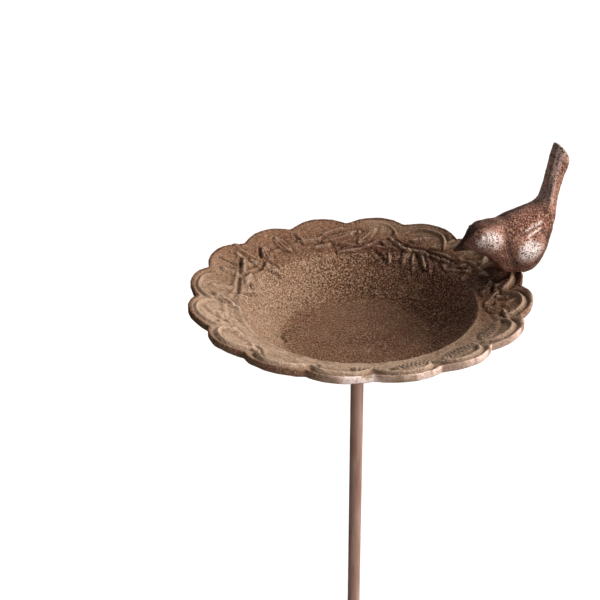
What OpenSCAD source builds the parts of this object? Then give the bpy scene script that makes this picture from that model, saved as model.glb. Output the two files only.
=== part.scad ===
// Bird feeder on a pole: a scalloped cast dish with a bird on its rim, on a sectional rod with a step-in fork.
// Origin: on the pole's axis at ground level, where the fork's arm rests on the soil. +Z up, +X towards the fork.

/* [Dish] */
// Radius at the tips of the scallops
tip_r = 113.5; // [105:0.5:125]
// Depth of a scallop, from tip to notch
scallop_depth = 6.2; // [3:0.1:9]
// Number of scallops around the rim
scallops = 16; // [12:1:20]
// Angle of the first notch, from +X
notch_angle = 5.2; // [0:0.1:22]
// Height from the underside of the bowl to the top of the rim
dish_h = 43.5; // [40:0.5:48]
// Height of the vertical edge face of the rim
rim_t = 5; // [3:0.5:7]
// Thickness of the bowl's wall and floor
wall_t = 6; // [4:0.5:7]
// Radius of the flat centre of the bowl
flat_r = 25; // [20:1:30]
// Radius of the curve of the bowl's outer wall
bowl_curve_r = 72; // [70:1:85]
// Radius where the bowl's outer wall meets the flange
bowl_r = 82; // [78:0.5:86]
// Radius where the bowl's inner wall meets the flange
flange_r = 77; // [73:0.5:80]
// Distance from the rim's edge to the raised bead on the flange
bead_inset = 4.5; // [3:0.5:7]
// Width of the raised bead
bead_w = 2.2; // [1:0.1:3]
// Height of the raised bead
bead_h = 0.8; // [0.4:0.1:1.5]
// Radius of the boss that the pole screws into
boss_r = 9.4; // [8:0.1:12]
// Height of the boss below the bowl
boss_h = 3.5; // [2:0.5:6]

/* [Bird] */
// Angle of the bird around the rim, from +X
bird_angle = 18.5; // [0:0.5:45]
// Turn of the bird about its screw, from pointing straight out
bird_turn = 2; // [-10:0.5:10]
// Distance of the bird's screw from the pole's axis
bird_screw_r = 105; // [102:0.5:105]
// Radius of the pad that the bird stands on
pad_r = 7; // [6.5:0.1:7.5]

/* [Pole] */
// Diameter of the rod of the pole and the fork
rod_d = 9; // [8:0.5:10]
// Outer diameter of the thread at the pole's top, rolled onto the rod
thread_d = 10; // [8:0.5:12]
// Visible length of one section of the pole
section_l = 365; // [300:5:400]
// Depth of the pole's point below ground level
ground_depth = 230; // [180:5:280]
// Length of the tapered points
point_l = 18; // [10:1:25]
// Width of the locknut across its flats
nut_af = 17; // [15:0.5:19]
// Height of the locknut
nut_h = 6.5; // [5:0.5:8]

/* [Fork] */
// Distance between the axes of the pole and the prong
fork_spacing = 111; // [90:1:140]
// Radius of the rod's bends, at its centre line
bend_r = 10; // [8:0.5:14]
// Length of the short leg that is welded to the pole
leg_l = 20; // [15:1:30]

/* [Hidden] */
$fn = 64;
hull_fn = 32;

rod_r = rod_d / 2;
thread_r = thread_d / 2;
clearance = 0.05;     // radial gap of a thread or a hole around its screw
contact_gap = 0.05;   // gap between the locknut and the turning boss
chamfer = 0.4;
overlap = 1;          // cutters run past a face by this much

// heights of the pole
lower_top = section_l - ground_depth;
middle_top = lower_top + section_l;
nut_z = middle_top + section_l;
boss_z = nut_z + nut_h + contact_gap;
dish_z = boss_z + boss_h;
rim_z = dish_z + dish_h;

// threads, drawn as rings
pole_pitch = 1.5;
pole_thread_depth = 0.8;
boss_hole_depth = boss_h + wall_t - 2;
pole_thread_l = nut_h + contact_gap + boss_hole_depth - 0.8;
stud_r = 2.5;
stud_pitch = 0.8;
stud_thread_depth = 0.45;
stud_l = 26;
stud_hole_depth = stud_l / 2 + 1;

// dish
profile_r = tip_r + 4;
arc_steps = 14;
outer_end = asin((bowl_r - flat_r) / bowl_curve_r);
inner_end = asin((flange_r - flat_r) / (bowl_curve_r - wall_t));

// bird's screw
screw_r = 2.5;
screw_hole_r = 2.7;
screw_depth = 10;     // length of screw inside the bird
pad_seat_z = dish_h - 11;
washer_r = 5;
washer_t = 1;
head_r = 4.6;
head_h = 3.2;
recess_w = 1.2;

leg_x = 2 * rod_r + clearance;
weld_r = 2.2;

function bowl_arc(r, end) = [for (i = [0 : arc_steps]) let (a = end * i / arc_steps)
    [flat_r + r * sin(a), bowl_curve_r - r * cos(a)]];
function edge_line(start, z_edge) =
    let (slope = (z_edge - start[1]) / (tip_r - start[0])) [profile_r, start[1] + slope * (profile_r - start[0])];

// Outline of the rim: one arc for each scallop, through its tip and its two notches
module scallop_outline(inset = 0) {
    tip = tip_r - inset;
    notch = tip_r - scallop_depth - inset;
    half = 180 / scallops;
    rise = tip - notch * cos(half);
    arc_r = (rise * rise + pow(notch * sin(half), 2)) / (2 * rise);
    circle(r = notch * cos(half), $fn = 96);
    for (i = [0 : scallops - 1])
        rotate(notch_angle + (i + 0.5) * 360 / scallops) translate([tip - arc_r, 0]) circle(r = arc_r, $fn = 96);
}

// Half section of the bowl and its flange; lift raises the top face
module dish_section(lift = 0) {
    outer = bowl_arc(bowl_curve_r, outer_end);
    inner = [for (p = bowl_arc(bowl_curve_r - wall_t, inner_end)) [p[0], p[1] + lift]];
    outer_edge = edge_line(outer[arc_steps], dish_h - rim_t);
    inner_edge = edge_line(inner[arc_steps], dish_h + lift);
    polygon(concat([[0, 0]], outer, [outer_edge, inner_edge],
                   [for (i = [arc_steps : -1 : 0]) inner[i]], [[0, wall_t + lift]]));
}

module at_bird_screw() {
    translate([0, 0, dish_z]) rotate(bird_angle) translate([bird_screw_r, 0, 0]) children();
}

module dish() {
    color("saddlebrown") difference() {
        union() {
            translate([0, 0, dish_z]) intersection() {
                rotate_extrude($fn = 96) dish_section();
                translate([0, 0, -overlap]) linear_extrude(dish_h + 2 * overlap) scallop_outline();
            }
            translate([0, 0, dish_z]) intersection() {
                rotate_extrude($fn = 96) dish_section(bead_h);
                translate([0, 0, dish_h / 2]) linear_extrude(dish_h) difference() {
                    scallop_outline(bead_inset);
                    scallop_outline(bead_inset + bead_w);
                }
            }
            translate([0, 0, boss_z]) cylinder(r = boss_r, h = boss_h + wall_t / 2);
            at_bird_screw() translate([0, 0, pad_seat_z]) cylinder(r = pad_r, h = dish_h - pad_seat_z);
        }
        translate([0, 0, boss_z - overlap]) cylinder(r = thread_r + clearance, h = boss_hole_depth + overlap);
        at_bird_screw() translate([0, 0, pad_seat_z - overlap]) cylinder(r = screw_hole_r, h = dish_h);
        at_bird_screw() translate([0, 0, pad_seat_z - dish_h]) cylinder(r = pad_r, h = dish_h);
    }
}

// A round blob of the bird, at a distance from the pole's axis and a height above the rim
module blob(r, h, size, side = 0) {
    translate([r - bird_screw_r, side, h]) sphere(r = size, $fn = hull_fn);
}

module bird() {
    color("sienna") difference() {
        at_bird_screw() rotate(bird_turn) translate([0, 0, dish_h]) union() {
            hull() {
                blob(116, 20.5, 17);
                blob(103, 20, 14.5);
                cylinder(r = pad_r, h = 2);
            }
            hull() {
                blob(88, 24, 12.6);
                blob(102, 23.5, 14.4);
            }
            hull() {
                blob(78, 25.5, 6);
                blob(68.7, 20.2, 0.9);
            }
            hull() {
                blob(115, 25, 16.5);
                blob(128, 44, 7);
            }
            hull() {
                for (side = [-4, 4]) blob(130.5, 46, 3.6, side);
                for (side = [-9, 9]) blob(139, 81, 2, side);
            }
        }
        translate([0, 0, rim_z - dish_h]) cylinder(r = 2 * tip_r, h = dish_h);
        at_bird_screw() translate([0, 0, dish_h - overlap])
            cylinder(r = screw_r + clearance, h = screw_depth + 2 * overlap);
    }
}

module bird_screw() {
    head_z = pad_seat_z - washer_t - head_h;
    color("dimgray") at_bird_screw() difference() {
        union() {
            translate([0, 0, head_z]) cylinder(r1 = head_r - 1, r2 = head_r, h = 1);
            translate([0, 0, head_z + 1]) cylinder(r = head_r, h = head_h - 1);
            translate([0, 0, head_z + head_h])
                cylinder(r = screw_r, h = dish_h + screw_depth - head_z - head_h - chamfer);
            translate([0, 0, dish_h + screw_depth - chamfer])
                cylinder(r1 = screw_r, r2 = screw_r - chamfer, h = chamfer);
        }
        for (turn = [0, 90]) rotate(turn)
            translate([-head_r / 2, -recess_w / 2, head_z - overlap]) cube([head_r, recess_w, 1.8 + overlap]);
    }
}

module screw_washer() {
    color("gray") at_bird_screw() translate([0, 0, pad_seat_z - washer_t]) difference() {
        cylinder(r = washer_r, h = washer_t);
        translate([0, 0, -overlap]) cylinder(r = screw_hole_r, h = washer_t + 2 * overlap);
    }
}

module dish_locknut() {
    corner_r = nut_af / sqrt(3);
    color("dimgray") translate([0, 0, nut_z]) difference() {
        intersection() {
            cylinder(r = corner_r, h = nut_h, $fn = 6);
            rotate_extrude() polygon([[0, 0], [nut_af / 2, 0], [corner_r, 0.9], [corner_r, nut_h - 0.9],
                                      [nut_af / 2, nut_h], [0, nut_h]]);
        }
        translate([0, 0, -overlap]) cylinder(r = thread_r + clearance, h = nut_h + 2 * overlap);
    }
}

// A thread drawn as V-shaped rings, standing on z = 0
module ring_thread(r, l, pitch, depth) {
    rings = floor(l / pitch);
    teeth = [for (i = [0 : rings - 1], p = [[r - depth, 0], [r, 0.35], [r, 0.65]]) [p[0], (i + p[1]) * pitch]];
    rotate_extrude() polygon(concat([[0, 0]], teeth, [[r - depth, rings * pitch], [0, rings * pitch]]));
}

// A length of rod with chamfered ends, standing on z = 0
module rod(l) {
    cylinder(r1 = rod_r - chamfer, r2 = rod_r, h = chamfer);
    translate([0, 0, chamfer]) cylinder(r = rod_r, h = l - 2 * chamfer);
    translate([0, 0, l - chamfer]) cylinder(r1 = rod_r, r2 = rod_r - chamfer, h = chamfer);
}

// The tapped hole for a joint stud, running up from z; it runs past the end face at z
module stud_hole(z) {
    translate([0, 0, z - overlap]) cylinder(r = stud_r + clearance, h = stud_hole_depth + overlap);
}

// The same hole, running down from z
module stud_hole_down(z) {
    translate([0, 0, z - stud_hole_depth]) cylinder(r = stud_r + clearance, h = stud_hole_depth + overlap);
}

module pole_upper() {
    color("rosybrown") difference() {
        union() {
            translate([0, 0, middle_top]) rod(section_l);
            translate([0, 0, nut_z])
                ring_thread(thread_r, pole_thread_l, pole_pitch, pole_thread_depth);
        }
        stud_hole(middle_top);
    }
}

module pole_middle() {
    color("rosybrown") difference() {
        translate([0, 0, lower_top]) rod(section_l);
        stud_hole(lower_top);
        stud_hole_down(middle_top);
    }
}

// A tapered point that ends at z = 0, under a rod
module point() {
    cylinder(r1 = 0.8, r2 = rod_r, h = point_l);
}

module pole_lower() {
    color("gray") difference() {
        union() {
            translate([0, 0, -ground_depth]) point();
            translate([0, 0, point_l - ground_depth]) cylinder(r = rod_r, h = section_l - point_l - chamfer);
            translate([0, 0, lower_top - chamfer]) cylinder(r1 = rod_r, r2 = rod_r - chamfer, h = chamfer);
        }
        stud_hole_down(lower_top);
    }
}

module joint_stud(z) {
    color("silver") translate([0, 0, z - stud_l / 2]) ring_thread(stud_r, stud_l, stud_pitch, stud_thread_depth);
}

module joint_stud_upper() { joint_stud(middle_top); }
module joint_stud_lower() { joint_stud(lower_top); }

// A quarter bend of the rod in the XZ plane, around a centre; start is 0 for +X towards +Z
module bend(x, z, start) {
    translate([x, 0, z]) rotate([90, 0, 0]) rotate_extrude(angle = 90, start = start)
        translate([bend_r, 0]) circle(r = rod_r);
}

module fork_prong() {
    leg_bottom = rod_r + bend_r;
    prong_top = rod_r - bend_r;
    color("gray") {
        translate([leg_x, 0, leg_bottom]) cylinder(r = rod_r, h = leg_l);
        bend(leg_x + bend_r, leg_bottom, 180);
        translate([leg_x + bend_r, 0, rod_r]) rotate([0, 90, 0])
            cylinder(r = rod_r, h = fork_spacing - leg_x - 2 * bend_r);
        bend(fork_spacing - bend_r, prong_top, 0);
        translate([fork_spacing, 0, point_l - ground_depth])
            cylinder(r = rod_r, h = prong_top + ground_depth - point_l);
        translate([fork_spacing, 0, -ground_depth]) point();
    }
}

// Weld beads in the two grooves between the pole and the short leg
module leg_welds() {
    color("darkslategray") translate([0, 0, rod_r + bend_r + 1]) linear_extrude(leg_l - 2) difference() {
        for (side = [-1, 1]) translate([leg_x / 2, side * 0.75 * rod_r]) circle(r = weld_r);
        circle(r = rod_r + clearance / 2);
        translate([leg_x, 0]) circle(r = rod_r + clearance / 2);
    }
}

// Weld bead in the corner under the bend, against the pole
module arm_weld() {
    color("darkslategray") difference() {
        translate([rod_r - 0.5, 0, rod_r + 1.5]) rotate([0, 90, 0]) cylinder(r1 = 3.4, r2 = 1.6, h = 6);
        translate([0, 0, -rod_r]) cylinder(r = rod_r + clearance / 2, h = 6 * rod_r);
        bend_cutter();
    }
}

// The fork's bend at the pole, a little thicker, to cut the weld bead back to its surface
module bend_cutter() {
    translate([leg_x + bend_r, 0, rod_r + bend_r]) rotate([90, 0, 0]) rotate_extrude(angle = 90, start = 180)
        translate([bend_r, 0]) circle(r = rod_r + clearance / 2);
    translate([leg_x, 0, rod_r + bend_r]) cylinder(r = rod_r + clearance / 2, h = leg_l);
    translate([leg_x + bend_r, 0, rod_r]) rotate([0, 90, 0]) cylinder(r = rod_r + clearance / 2, h = bend_r);
}

dish();
bird();
bird_screw();
screw_washer();
dish_locknut();
pole_upper();
pole_middle();
pole_lower();
joint_stud_upper();
joint_stud_lower();
fork_prong();
leg_welds();
arm_weld();
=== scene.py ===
import math

import bmesh
import bpy
import numpy as np
from mathutils import Matrix, Vector


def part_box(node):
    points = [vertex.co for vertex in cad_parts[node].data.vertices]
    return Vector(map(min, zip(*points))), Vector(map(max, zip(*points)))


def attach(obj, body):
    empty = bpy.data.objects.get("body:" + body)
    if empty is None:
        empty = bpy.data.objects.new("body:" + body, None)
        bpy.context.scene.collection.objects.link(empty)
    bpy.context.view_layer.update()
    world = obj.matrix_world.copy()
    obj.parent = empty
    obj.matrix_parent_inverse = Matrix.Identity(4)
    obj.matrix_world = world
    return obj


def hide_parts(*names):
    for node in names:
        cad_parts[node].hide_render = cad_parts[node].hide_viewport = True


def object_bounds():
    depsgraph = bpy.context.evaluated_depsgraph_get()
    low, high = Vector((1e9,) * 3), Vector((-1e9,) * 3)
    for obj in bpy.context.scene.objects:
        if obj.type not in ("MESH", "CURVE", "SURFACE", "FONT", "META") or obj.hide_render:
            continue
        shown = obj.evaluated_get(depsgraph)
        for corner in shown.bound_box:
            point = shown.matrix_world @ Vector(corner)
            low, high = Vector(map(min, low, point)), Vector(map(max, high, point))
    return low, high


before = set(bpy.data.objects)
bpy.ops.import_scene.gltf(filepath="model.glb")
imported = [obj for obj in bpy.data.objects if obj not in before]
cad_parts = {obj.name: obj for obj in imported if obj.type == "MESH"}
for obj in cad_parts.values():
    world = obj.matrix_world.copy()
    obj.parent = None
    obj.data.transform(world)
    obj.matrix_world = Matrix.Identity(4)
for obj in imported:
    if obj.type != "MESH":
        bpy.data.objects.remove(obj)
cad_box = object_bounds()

MM = 0.001
NOISE_CELLS = 32
BORE_CLEARANCE = 0.05

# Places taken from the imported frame
RIM_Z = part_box("bird")[0].z / MM
BOSS_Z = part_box("dish")[0].z / MM - RIM_Z
SCREW_XY = (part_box("bird_screw")[0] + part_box("bird_screw")[1]).xy / 2 / MM
FLOOR_Z = cad_box[0][2]
ROD_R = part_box("pole_middle")[1].x / MM
BORE_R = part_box("pole_upper")[1].x / MM + BORE_CLEARANCE

# The dish's outline: 16 arcs that meet in notches
LOBES = 16
LOBE_STEP = 2 * math.pi / LOBES
FIRST_LOBE = math.radians(16.45)
LOBE_CENTRE_R = 82.85
LOBE_ARC_R = 30.65
LOBE_HALF_ANGLE = 0.37
TIP_R = 113.5
# Its top face
WALL_TOP_R = 77.0
WALL_TOP_Z = -12.1
WALL_SLOPE = 1.22
WALL_CURVE = 0.0115
FLOOR_TOP_Z = -37.0
FLOOR_RISE = 0.6
FLOOR_R = 50.0
FLANGE_SLOPE = 0.3326
FLANGE_INNER_R = 69.5
# Its underside: a flat, an arc and the flange, with a boss and the bird's pad
FLAT_R = 25.0
OUTER_ARC_R = 72.0
ARC_CENTRE_Z = 28.5
RIM_T = 5.0
CREST_INSET = 0.9
EDGE_INSET = 1.3
UNDERSIDE_INNER_R = 26.0
BOSS_R = 9.4
BORE_DEPTH = 7.5
PAD_SEAT_Z = -11.0
# How many points its rings have, from the flange to the bowl's floor, and how many rings there are
FINE, MEDIUM, COARSE = 864, 432, 216
FLOOR_RINGS, WALL_RINGS, FLANGE_RINGS, UNDERSIDE_RINGS = 15, 30, 56, 33


# ---------------------------------------------------------------- small tools

def smoothstep(value):
    """0 up to 0, 1 from 1 on, and a smooth change between."""
    t = np.clip(value, 0.0, 1.0)
    return t * t * (3 - 2 * t)


def hump(distance, width):
    """1 at distance 0, fading out over about twice the width."""
    return np.exp(-((distance / width) ** 2))


def soft_max(a, b, softness):
    """The larger of two values, with a rounded change from one to the other."""
    return softness * np.logaddexp(a / softness, b / softness)


def flat_points(x, y):
    """The points as places in space, all at height 0, for noise that doesn't follow the relief."""
    return np.stack([x, y, np.zeros_like(x)], -1)


def lattice_noise(points, size, seed):
    """Smooth noise from -1 to 1 at each point, with bumps about one size across."""
    table = np.random.default_rng(seed).uniform(-1, 1, (NOISE_CELLS, NOISE_CELLS, NOISE_CELLS))
    q = np.asarray(points, float) / size
    cell = np.floor(q).astype(int)
    f = smoothstep(q - cell)
    total = np.zeros(q.shape[:-1])
    for corner in np.ndindex(2, 2, 2):
        weight = np.prod([f[..., a] if corner[a] else 1 - f[..., a] for a in range(3)], axis=0)
        index = [(cell[..., a] + corner[a]) % NOISE_CELLS for a in range(3)]
        total += weight * table[index[0], index[1], index[2]]
    return total


def cast_surface(points, *layers):
    """The unevenness of a sand casting: layers of noise, each with its height, size and seed."""
    return sum(height * lattice_noise(points, size, seed) for height, size, seed in layers)


def catmull_rom(knots, count):
    """A smooth curve of count points through the knots."""
    knots = np.asarray(knots, float)
    padded = np.vstack([2 * knots[0] - knots[1], knots, 2 * knots[-1] - knots[-2]])
    t = np.linspace(0, len(knots) - 1, count)
    i = np.minimum(t.astype(int), len(knots) - 2)
    u = (t - i)[:, None]
    a, b, c, d = padded[i], padded[i + 1], padded[i + 2], padded[i + 3]
    square = 2 * a - 5 * b + 4 * c - d
    cube = 3 * b - a - 3 * c + d
    return 0.5 * (2 * b + (c - a) * u + square * u**2 + cube * u**3)


def path_distance(x, y, path):
    """Distance from each point to a polyline."""
    best = np.full(x.shape, np.inf)
    for (ax, ay), (bx, by) in zip(path[:-1], path[1:]):
        ux, uy = bx - ax, by - ay
        t = np.clip(((x - ax) * ux + (y - ay) * uy) / (ux * ux + uy * uy), 0, 1)
        best = np.minimum(best, np.hypot(x - ax - t * ux, y - ay - t * uy))
    return best


def curve_distance(x, y, knots, count):
    """Distance from each point to a smooth curve of count points through the knots."""
    return path_distance(x, y, catmull_rom(knots, count))


def circle_angles(count):
    """Even directions all the way round."""
    return np.arange(count) * 2 * math.pi / count


def circle_ring(r, theta, z):
    """Points at a radius, a direction and a height."""
    return np.stack([r * np.cos(theta), r * np.sin(theta), np.broadcast_to(z, theta.shape)], -1)


def ring_faces(a, b, count_a, count_b):
    """Faces between two closed rings of vertices; one may have half as many as the other."""
    if count_a == count_b:
        i = np.arange(count_a)
        j = (i + 1) % count_a
        return np.stack([a + i, a + j, b + j, b + i], 1).tolist()
    swap = count_a < count_b
    fine, coarse = (b, a) if swap else (a, b)
    k = np.arange(min(count_a, count_b))
    f0, f1, f2 = fine + 2 * k, fine + 2 * k + 1, fine + (2 * k + 2) % (2 * len(k))
    c0, c1 = coarse + k, coarse + (k + 1) % len(k)
    faces = np.concatenate([np.stack(t, 1) for t in ((f0, f1, c0), (f1, c1, c0), (f1, f2, c1))])
    return (faces[:, ::-1] if swap else faces).tolist()


def closed_faces(counts):
    """Faces of a skin over rings of vertices, closed by two more vertices at its two ends."""
    starts = np.concatenate([[0], np.cumsum(counts)]).tolist()
    faces = []
    for k in range(len(counts) - 1):
        faces += ring_faces(starts[k], starts[k + 1], counts[k], counts[k + 1])
    total = starts[-1]
    first = np.arange(counts[0])
    last = starts[-2] + np.arange(counts[-1])
    faces += np.stack([np.full(len(first), total), np.roll(first, -1), first], 1).tolist()
    faces += np.stack([np.full(len(last), total + 1), last, np.roll(last, -1)], 1).tolist()
    return faces


def face_outwards(mesh):
    """Turns all faces of a closed mesh outwards."""
    build = bmesh.new()
    build.from_mesh(mesh)
    bmesh.ops.recalc_face_normals(build, faces=build.faces)
    build.to_mesh(mesh)
    build.free()


def lathe_mesh(name, rings, attributes=()):
    """A closed mesh through rings of points in millimetres, capped at both ends.

    Each attribute is a name with one array of values for each ring.
    """
    caps = np.array([rings[0].mean(0), rings[-1].mean(0)])
    points = np.vstack(rings + [caps]) * MM
    mesh = bpy.data.meshes.new(name)
    mesh.from_pydata(points.tolist(), [], closed_faces([len(ring) for ring in rings]))
    for key, values in attributes:
        flat = np.concatenate(values + [[values[0].mean()], [values[-1].mean()]])
        mesh.attributes.new(key, "FLOAT", "POINT").data.foreach_set("value", flat.astype(np.float32))
    face_outwards(mesh)
    mesh.shade_smooth()
    return mesh


def add_piece(mesh, body, slot, *nodes):
    """Puts a mesh into the scene as a piece that rides on a body and stands for CAD nodes."""
    piece = bpy.data.objects.new(mesh.name, mesh)
    bpy.context.scene.collection.objects.link(piece)
    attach(piece, body)
    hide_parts(*nodes)
    return piece


# ---------------------------------------------------------------- dish: outline and profile

# How far each scallop's tip stands out, in millimetres, and how far it is turned, in degrees,
# from the first one round: the casting is not quite regular
LOBE_REACH = [0, 0, 0.5, 0, -0.5, -1, 0.5, -0.5, 0, 0, 1, 0, 0.5, -0.5, 0.5, 0.5]
LOBE_SHIFT = [0, 0, 0, -1, 0, 0, 0, -0.5, 0, 1, 0, 0.5, 0, 0, 1.5, 1]
# Directions from the dish's middle, as angles from +X in radians
BACK = math.radians(98)
BACK_LEFT = math.radians(120)
BACK_RIGHT = math.radians(58)
LEFT = math.radians(-155)
FRONT_RIGHT = math.radians(-50)
BARE_AND_LIT_EDGE = -0.8
CHIPPED_EDGE = -1.55


def degrees_from(theta, middle):
    """How many degrees each angle lies from a direction, -180 to 180."""
    return np.degrees(np.angle(np.exp(1j * (theta - middle))))


def arc_share(theta, start, end, middle=BACK):
    """1 within start degrees of a direction, falling to 0 at end degrees from it."""
    away = np.abs(degrees_from(theta, middle))
    return 1 - smoothstep((away - start) / (end - start))


def edge_radius(theta):
    """Radius of the scalloped outline, with notches that are softer at the back."""
    softness = 0.5 + 0.9 * arc_share(theta, 35, 75)
    total = np.zeros_like(theta)
    for k in range(LOBES):
        middle = FIRST_LOBE + k * LOBE_STEP + math.radians(LOBE_SHIFT[k])
        off = np.angle(np.exp(1j * (theta - middle)))
        near = np.abs(off) < LOBE_HALF_ANGLE
        reach = LOBE_ARC_R**2 - (LOBE_CENTRE_R * np.sin(off)) ** 2
        radius = LOBE_CENTRE_R * np.cos(off) + np.sqrt(np.maximum(reach, 0)) + LOBE_REACH[k]
        total += np.where(near, np.exp((radius - TIP_R) / softness), 0)
    return TIP_R + softness * np.log(total)


def lobe_phase(theta):
    """-1 to 1 across a lobe, 0 at its tip."""
    return ((theta - FIRST_LOBE) / LOBE_STEP + 0.5) % 1 * 2 - 1


def inner_height(r):
    """Height of the plain top face: a flat floor, a curved wall and the sloping flange."""
    floor = FLOOR_TOP_Z + FLOOR_RISE * (r / FLOOR_R) ** 2
    down = np.clip(WALL_TOP_R - r, -20, 45)
    wall = WALL_TOP_Z - WALL_SLOPE * down + WALL_CURVE * down**2
    flange = -(TIP_R - np.maximum(r, 60)) * FLANGE_SLOPE
    bowl = soft_max(floor, wall, 0.8)
    return -soft_max(-bowl, -flange, 0.6)


def outer_height(r):
    """Height of the plain underside: a flat middle, an arc and the flange."""
    arc = ARC_CENTRE_Z - np.sqrt(OUTER_ARC_R**2 - np.clip(r - FLAT_R, 0, OUTER_ARC_R - 2) ** 2)
    flange = -(TIP_R - r) * FLANGE_SLOPE - RIM_T
    return -soft_max(-arc, -flange, 1.3)


# ---------------------------------------------------------------- dish: relief

# A leaf is its centre (x, y), the direction it points in (degrees), its length, its width and
# how far it bends sideways
LEAVES = [
    (-15, 93, 28, 29, 9.5, 2), (6, 94, 48, 22, 8, -1), (-36, 87, 20, 20, 7, 1),
    (-27, 81, 205, 16, 6, 0), (24, 86, -12, 18, 7, 1), (33, 72, -112, 15, 6.5, 0),
    (46, 67, -84, 19, 8, 1), (44, 87, 2, 16, 6, 1), (59, 79, 14, 19, 7, 1),
    (61, 58, -100, 16, 6.5, 1), (76, 64, 28, 20, 7, 1), (79, 50, -4, 20, 7.5, -1),
    (74, 40, -112, 17, 7, 1), (90, 35, -14, 18, 7, -1), (86, 18, -118, 17, 7, 1),
    (97, 20, 22, 15, 6, 0), (88, 2, -128, 18, 7, 1), (99, 0, -24, 19, 7.5, -1),
    (91, -14, -52, 22, 8, 1), (99, -20, 24, 16, 6.5, 0), (-54, 77, -42, 20, 8.5, 1),
    (-64, 63, -64, 18, 8, 1), (-70, 50, 160, 18, 7, 1), (-82, 52, 130, 17, 7, 0),
    (-60, 50, -20, 15, 6, 0), (-88, 33, 165, 18, 7, 1), (-76, 30, -100, 16, 6, 0),
    (-93, 12, 200, 17, 7, 0),
    (-87, -6, -34, 24, 7.5, -1), (-88, -26, -24, 27, 8.5, 1), (-80, -43, -36, 24, 7.5, 1),
    (-69, -56, -30, 23, 7.5, -1), (-63, -72, -64, 20, 7, 1), (-50, -78, -26, 22, 7.5, -1),
    (-31, -86, -42, 20, 7.5, 1), (-14, -91, -16, 21, 7.5, -1),
]
# The same for the long leaves with close side veins, like feathers
FEATHERS = [
    (8, -93, -6, 24, 9.5, 0), (35, -87, 22, 30, 10.5, -1), (64, -70, 43, 34, 11.5, -1),
    (84, -43, 61, 30, 11, -1),
]
# The vine's stems, each as the points it passes
STEMS = [
    [(-40, 84), (-22, 87), (-6, 85), (12, 83), (30, 80), (46, 75), (60, 66), (70, 56), (79, 46),
     (88, 30), (92, 14), (91, -2), (88, -18), (89, -32), (78, -48)],
    [(-44, 81), (-58, 70), (-70, 57), (-79, 44), (-84, 28), (-85, 8), (-88, -12), (-84, -30),
     (-78, -46), (-66, -61), (-52, -74), (-36, -84), (-16, -90), (10, -92), (34, -88)],
    [(62, 64), (72, 66), (86, 62)], [(84, 40), (96, 34), (104, 30)],
    [(-72, 56), (-82, 60), (-88, 66)], [(-86, 4), (-94, -4), (-100, -4)],
]
# The small curl on the bowl's floor
MARK = [(-46, 5), (-50, 1), (-51, -5), (-48, -10)]
# Veins and leaf edges that stand alone, cut in or raised
GROOVES = [
    [(-97, 46), (-84, 42)], [(-83, 51), (-82, 36), (-81, 11)], [(-71, 68), (-69, 58)],
    [(-66, 55), (-69, 45), (-75, 38), (-80, 32)], [(-74, 26), (-72, 19)],
    [(-82, 9), (-74, 14), (-60, 32)], [(-92, -2), (-85, -8)], [(-85, -50), (-76, -51)],
    [(-63, -64), (-57, -86)], [(-14, 81), (-9, 89), (-2, 96)], [(-47, 89), (-43, 84)],
    [(6, 86), (15, 92), (24, 96)], [(11, 79), (19, 71)], [(25, 88), (34, 82), (48, 74), (64, 60)],
    [(41, 72), (43, 62), (45, 58)], [(90, 18), (88, 12)], [(94, 9), (90, 4)], [(92, -19), (94, -32)],
]
RIDGES = [
    [(-90, -29), (-73, -44)], [(-77, -44), (-86, -48), (-87, -57), (-84, -68), (-76, -69)],
    [(-66, -64), (-62, -82), (-55, -93), (-46, -97)], [(-81, 50), (-79, 38)],
    [(-79, 45), (-72, 51)], [(-29, 87), (-24, 95), (-13, 101)], [(-13, 84), (-7, 91), (0, 98)],
    [(-15, 77), (-4, 80), (5, 83), (13, 90), (22, 96)], [(22, 91), (33, 78), (46, 72), (65, 56)],
    [(21, 76), (22, 71)], [(96, -10), (104, -4)], [(94, -18), (96, -38)],
    [(70, 59), (78, 52), (87, 35)], [(60, 51), (75, 43), (92, 30)], [(38, 73), (38, 60)],
    [(49, 66), (50, 55)],
]


def stem_relief(x, y):
    """Round stems with a shallow groove along each side."""
    total = np.zeros_like(x)
    for knots in STEMS:
        distance = curve_distance(x, y, knots, 8 * len(knots))
        total += 0.5 * hump(distance, 1.3) - 0.3 * hump(distance - 2.7, 1.3)
    return total


def stroke_relief(x, y):
    """The grooves and ridges, each with a faint opposite edge beside it."""
    total = np.zeros_like(x)
    for strokes, height in ((GROOVES, -0.85), (RIDGES, 0.8)):
        for knots in strokes:
            distance = curve_distance(x, y, knots, 6 * len(knots))
            total += height * hump(distance, 0.95) - 0.4 * height * hump(distance - 2.1, 0.9)
    return total


def leaf_shape(x, y, leaf):
    """Distance along a leaf (0 to 1), distance across it, and distance inside its outline."""
    cx, cy, heading, length, width, bend = leaf
    turn = math.radians(heading)
    along = ((x - cx) * math.cos(turn) + (y - cy) * math.sin(turn)) / length + 0.5
    across = (y - cy) * math.cos(turn) - (x - cx) * math.sin(turn)
    across = across + bend * (1 - (2 * along - 1) ** 2)
    q = np.clip(along, 0, 1)
    half = width / 2 * np.sin(math.pi * q**0.8) ** 0.85
    outside = np.maximum(0, np.maximum(-along, along - 1)) * length
    return along, across, half - np.abs(across) - outside


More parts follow.
